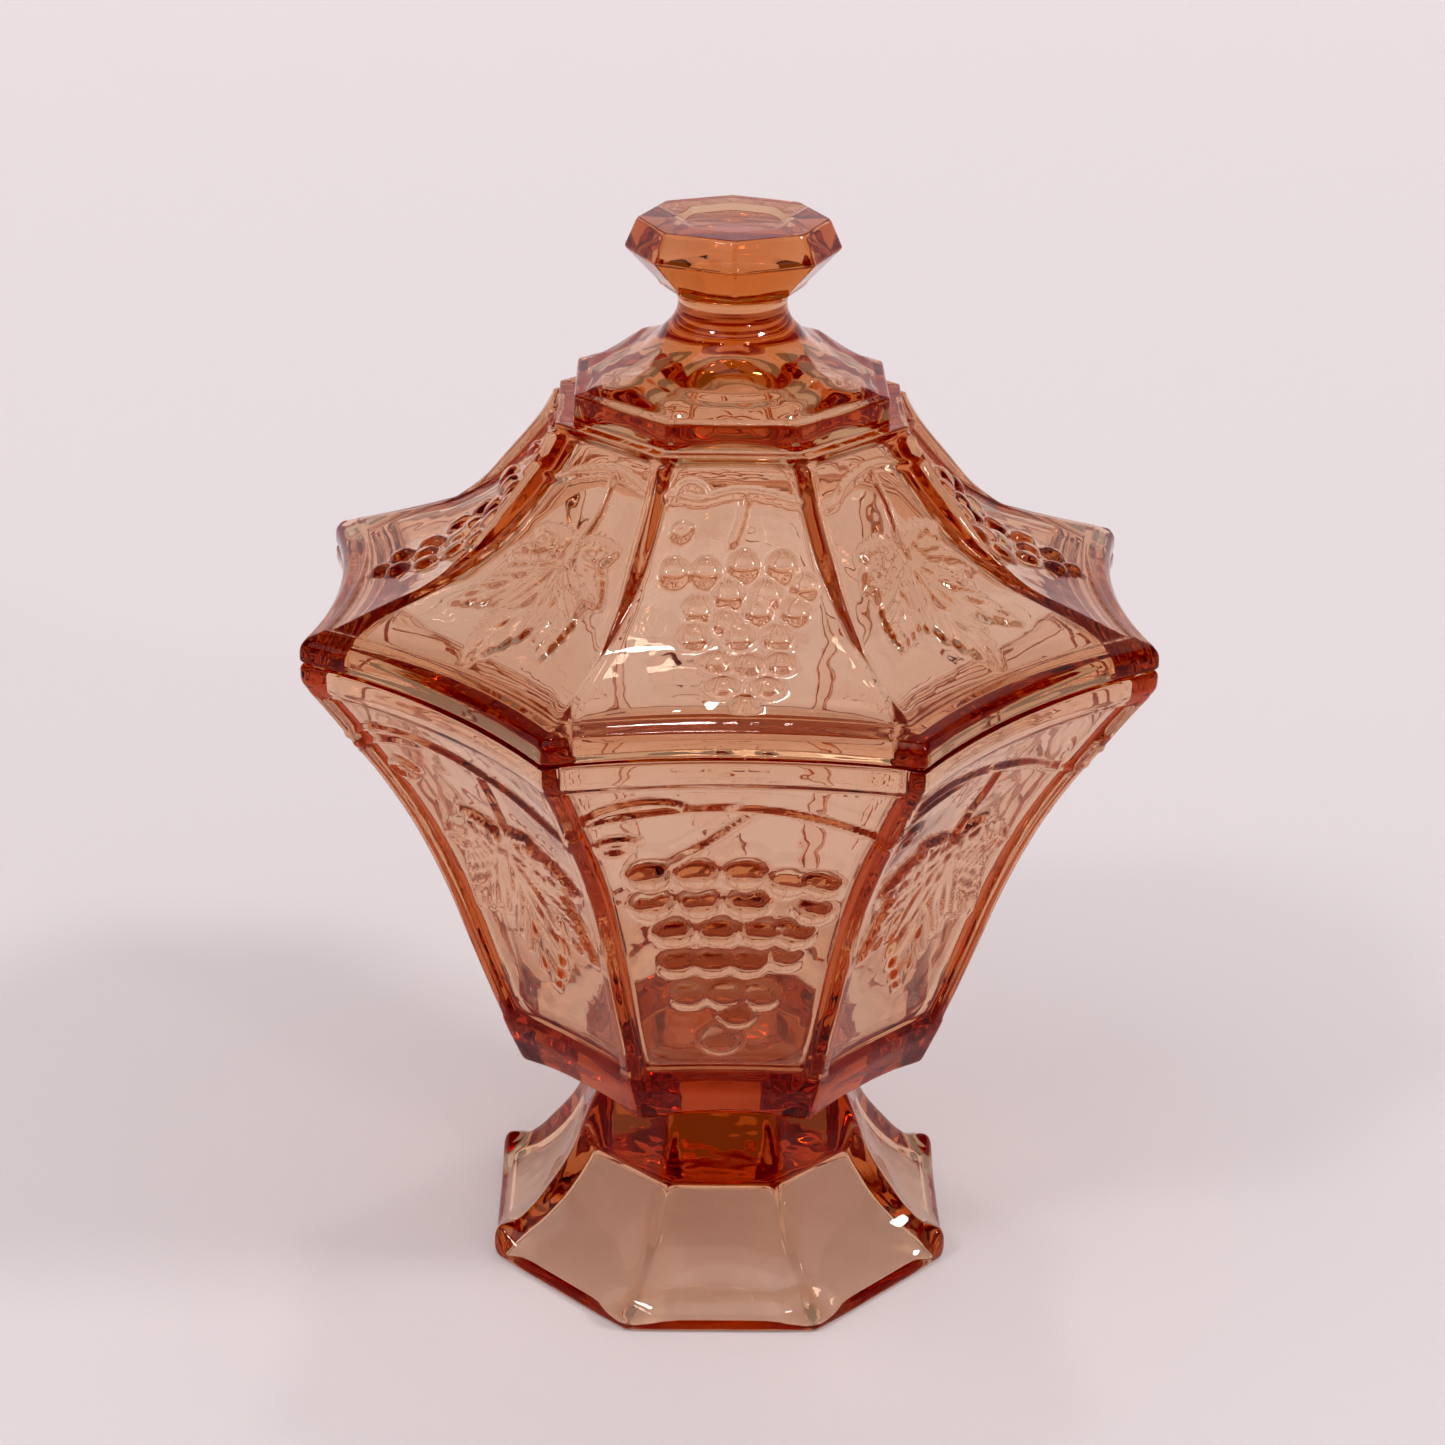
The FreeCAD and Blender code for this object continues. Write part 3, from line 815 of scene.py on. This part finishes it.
def pressed_glass(name):
    """Clear pink-amber glass: coloured through its depth, with the faint ripple of a pressed surface."""
    material, tree, shader, output = new_material(name)
    shader.inputs["Base Color"].default_value = SURFACE_TINT
    shader.inputs["Roughness"].default_value = 0.0
    shader.inputs["IOR"].default_value = GLASS_IOR
    shader.inputs["Transmission Weight"].default_value = 1.0
    depth = tree.nodes.new("ShaderNodeVolumeAbsorption")
    depth.inputs["Color"].default_value = DEPTH_TINT
    depth.inputs["Density"].default_value = DEPTH_DENSITY
    tree.links.new(depth.outputs["Volume"], output.inputs["Volume"])
    place = tree.nodes.new("ShaderNodeTexCoord")
    ripple = tree.nodes.new("ShaderNodeTexNoise")
    ripple.inputs["Scale"].default_value = RIPPLE_SCALE
    ripple.inputs["Detail"].default_value = RIPPLE_DETAIL
    tree.links.new(place.outputs["Object"], ripple.inputs["Vector"])
    bump = tree.nodes.new("ShaderNodeBump")
    bump.inputs["Strength"].default_value = RIPPLE_STRENGTH
    bump.inputs["Distance"].default_value = RIPPLE_DEPTH
    tree.links.new(ripple.outputs["Fac"], bump.inputs["Height"])
    tree.links.new(bump.outputs["Normal"], shader.inputs["Normal"])
    return material


def pale_cloth():
    """Matt pale sheet that the dish stands on, with a painted glow that lightens the shade under and around
    the dish.
    """
    material, _tree, shader, _output = new_material("pale_sheet")
    shader.inputs["Base Color"].default_value = SHEET_COLOUR
    shader.inputs["Roughness"].default_value = SHEET_ROUGHNESS
    shader.inputs["Specular IOR Level"].default_value = SHEET_SHEEN
    # Painted glow: the sheet emits light, so the dish's shadows on it come out paler.
    shader.inputs["Emission Color"].default_value = SHEET_PAINTED_GLOW_COLOUR
    shader.inputs["Emission Strength"].default_value = SHEET_PAINTED_GLOW
    return material


# ---- studio, in metres and degrees -----------------------------------------------------------
FLOOR_DROP = 0.0004                    # keeps the sheet clear of the glass, as the nap of cloth does
FLOOR_STEPS = 96                       # points around the sheet
FLOOR_OUTLINE = ((0.02, 0.0), (0.5, 0.0), (1.9, 0.0), (2.3, 0.05), (2.55, 0.2), (2.7, 0.5), (2.75, 1.2))
LIGHTS = (        # name, azimuth from the front, elevation, spread, strength
    ("right_panel", 50.0, 50.0, 50.0, 0.18),
    ("left_panel", -55.0, 50.0, 50.0, 0.32),
    ("back_panel", 165.0, 55.0, 50.0, 0.14),
    ("top_panel", -14.0, 66.0, 30.0, 0.12),
    ("right_lamp", 68.0, 45.0, 11.0, 0.58),
    ("left_lamp", -46.0, 45.0, 8.0, 0.28),
    ("front_spark", -14.0, 13.0, 6.0, 0.2),
    ("side_spark", 34.0, 26.0, 5.0, 0.15),
    ("top_spark", 170.0, 72.0, 5.0, 0.15),
)
LIGHT_DISTANCE = 3.0
ROOM_COLOUR = (0.93, 0.94, 1.0, 1.0)
ROOM_STRENGTH = 0.31
VIEW_ELEVATION = 23.65
VIEW_SWING = -1.06
VIEW_ROLL = 0.89
VIEW_DISTANCE = 0.6464
LENS = 76.9                            # millimetres, on a sensor 36 mm wide
SENSOR = 36.0
SHIFT_SIDEWAYS = -0.002215             # shares of the picture's width
SHIFT_UP = 0.016471
FAR_CLIP = 20.0
BLACK_LEVEL = (0.02, 0.02, 0.02)


def make_sweep():
    """Plain pale floor that curves up all round at a distance."""
    points = [(0.0, 0.0, -FLOOR_DROP)]
    for radius, height in FLOOR_OUTLINE:
        for step in range(FLOOR_STEPS):
            angle = 2.0 * math.pi * step / FLOOR_STEPS
            points.append((radius * math.cos(angle), radius * math.sin(angle), height - FLOOR_DROP))
    faces = [(0, 1 + step, 1 + (step + 1) % FLOOR_STEPS) for step in range(FLOOR_STEPS)]
    for ring_index in range(len(FLOOR_OUTLINE) - 1):
        low = 1 + ring_index * FLOOR_STEPS
        high = low + FLOOR_STEPS
        for step in range(FLOOR_STEPS):
            after = (step + 1) % FLOOR_STEPS
            faces.append((low + step, high + step, high + after, low + after))
    mesh = bpy.data.meshes.new("sweep")
    mesh.from_pydata(points, [], faces)
    mesh.polygons.foreach_set("use_smooth", [True] * len(faces))
    sweep = bpy.data.objects.new("sweep", mesh)
    bpy.context.scene.collection.objects.link(sweep)
    sweep.data.materials.append(pale_cloth())
    sweep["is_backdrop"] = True


def direction(azimuth, elevation):
    """Unit vector towards a place seen from the dish: azimuth from the front, to the right."""
    azimuth = math.radians(azimuth)
    elevation = math.radians(elevation)
    return Vector((math.sin(azimuth) * math.cos(elevation), -math.cos(azimuth) * math.cos(elevation),
                   math.sin(elevation)))


def aimed(place, target):
    """Rotation of a lamp or camera at this place that looks at the target."""
    return (Vector(target) - Vector(place)).to_track_quat("-Z", "Y").to_euler()


def far_light(name, azimuth, elevation, spread, strength):
    """A soft lamp far away: it comes from this direction and looks this many degrees wide."""
    data = bpy.data.lights.new(name, "SUN")
    data.energy = strength
    data.angle = math.radians(spread)
    lamp = bpy.data.objects.new(name, data)
    lamp.location = direction(azimuth, elevation) * LIGHT_DISTANCE
    lamp.rotation_euler = aimed(lamp.location, (0.0, 0.0, 0.0))
    bpy.context.scene.collection.objects.link(lamp)


def make_lights():
    for light in LIGHTS:
        far_light(*light)
    world = bpy.data.worlds.new("studio")
    world.use_nodes = True
    background = world.node_tree.nodes["Background"]
    background.inputs["Color"].default_value = ROOM_COLOUR
    background.inputs["Strength"].default_value = ROOM_STRENGTH
    bpy.context.scene.world = world


def make_camera():
    """Camera that looks down on the dish, aimed at its middle and rolled by about one degree."""
    target = Vector((0.0, 0.0, 0.5 * TOTAL * MM))
    data = bpy.data.cameras.new("camera")
    data.lens = LENS
    data.sensor_width = SENSOR
    data.shift_x = SHIFT_SIDEWAYS
    data.shift_y = SHIFT_UP
    data.clip_end = FAR_CLIP
    camera = bpy.data.objects.new("camera", data)
    camera.location = target + direction(VIEW_SWING, VIEW_ELEVATION) * VIEW_DISTANCE
    turn = aimed(camera.location, target).to_matrix() @ Matrix.Rotation(math.radians(VIEW_ROLL), 3, "Z")
    camera.rotation_euler = turn.to_euler()
    bpy.context.scene.collection.objects.link(camera)
    bpy.context.scene.camera = camera


def set_render_paths():
    """Enough bounces for light to find its way through thick glass, and the tone of the picture."""
    scene = bpy.context.scene
    scene.view_settings.view_transform = "Standard"
    scene.view_settings.look = "Medium High Contrast"
    scene.view_settings.use_curve_mapping = True
    scene.view_settings.curve_mapping.black_level = BLACK_LEVEL
    scene.cycles.max_bounces = 24
    scene.cycles.transmission_bounces = 24
    scene.cycles.glossy_bounces = 12
    scene.cycles.diffuse_bounces = 4
    scene.cycles.volume_bounces = 2
    scene.cycles.sample_clamp_indirect = 8.0
    scene.cycles.blur_glossy = 0.3


# ---- assembly ------------------------------------------------------------------------------
def main():
    bowl = make_bowl()
    bowl.data.materials.append(pressed_glass("bowl_glass_look"))
    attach(bowl, "bowl")
    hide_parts("footed_bowl")
    lid = make_lid()
    lid.data.materials.append(pressed_glass("lid_glass_look"))
    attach(lid, "cover")
    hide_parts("lid")
    make_sweep()
    make_lights()
    make_camera()
    set_render_paths()


main()
boxes = {"cad": CAD_BOX, "visual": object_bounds()}
{name: [list(corner) for corner in box] for name, box in boxes.items()}
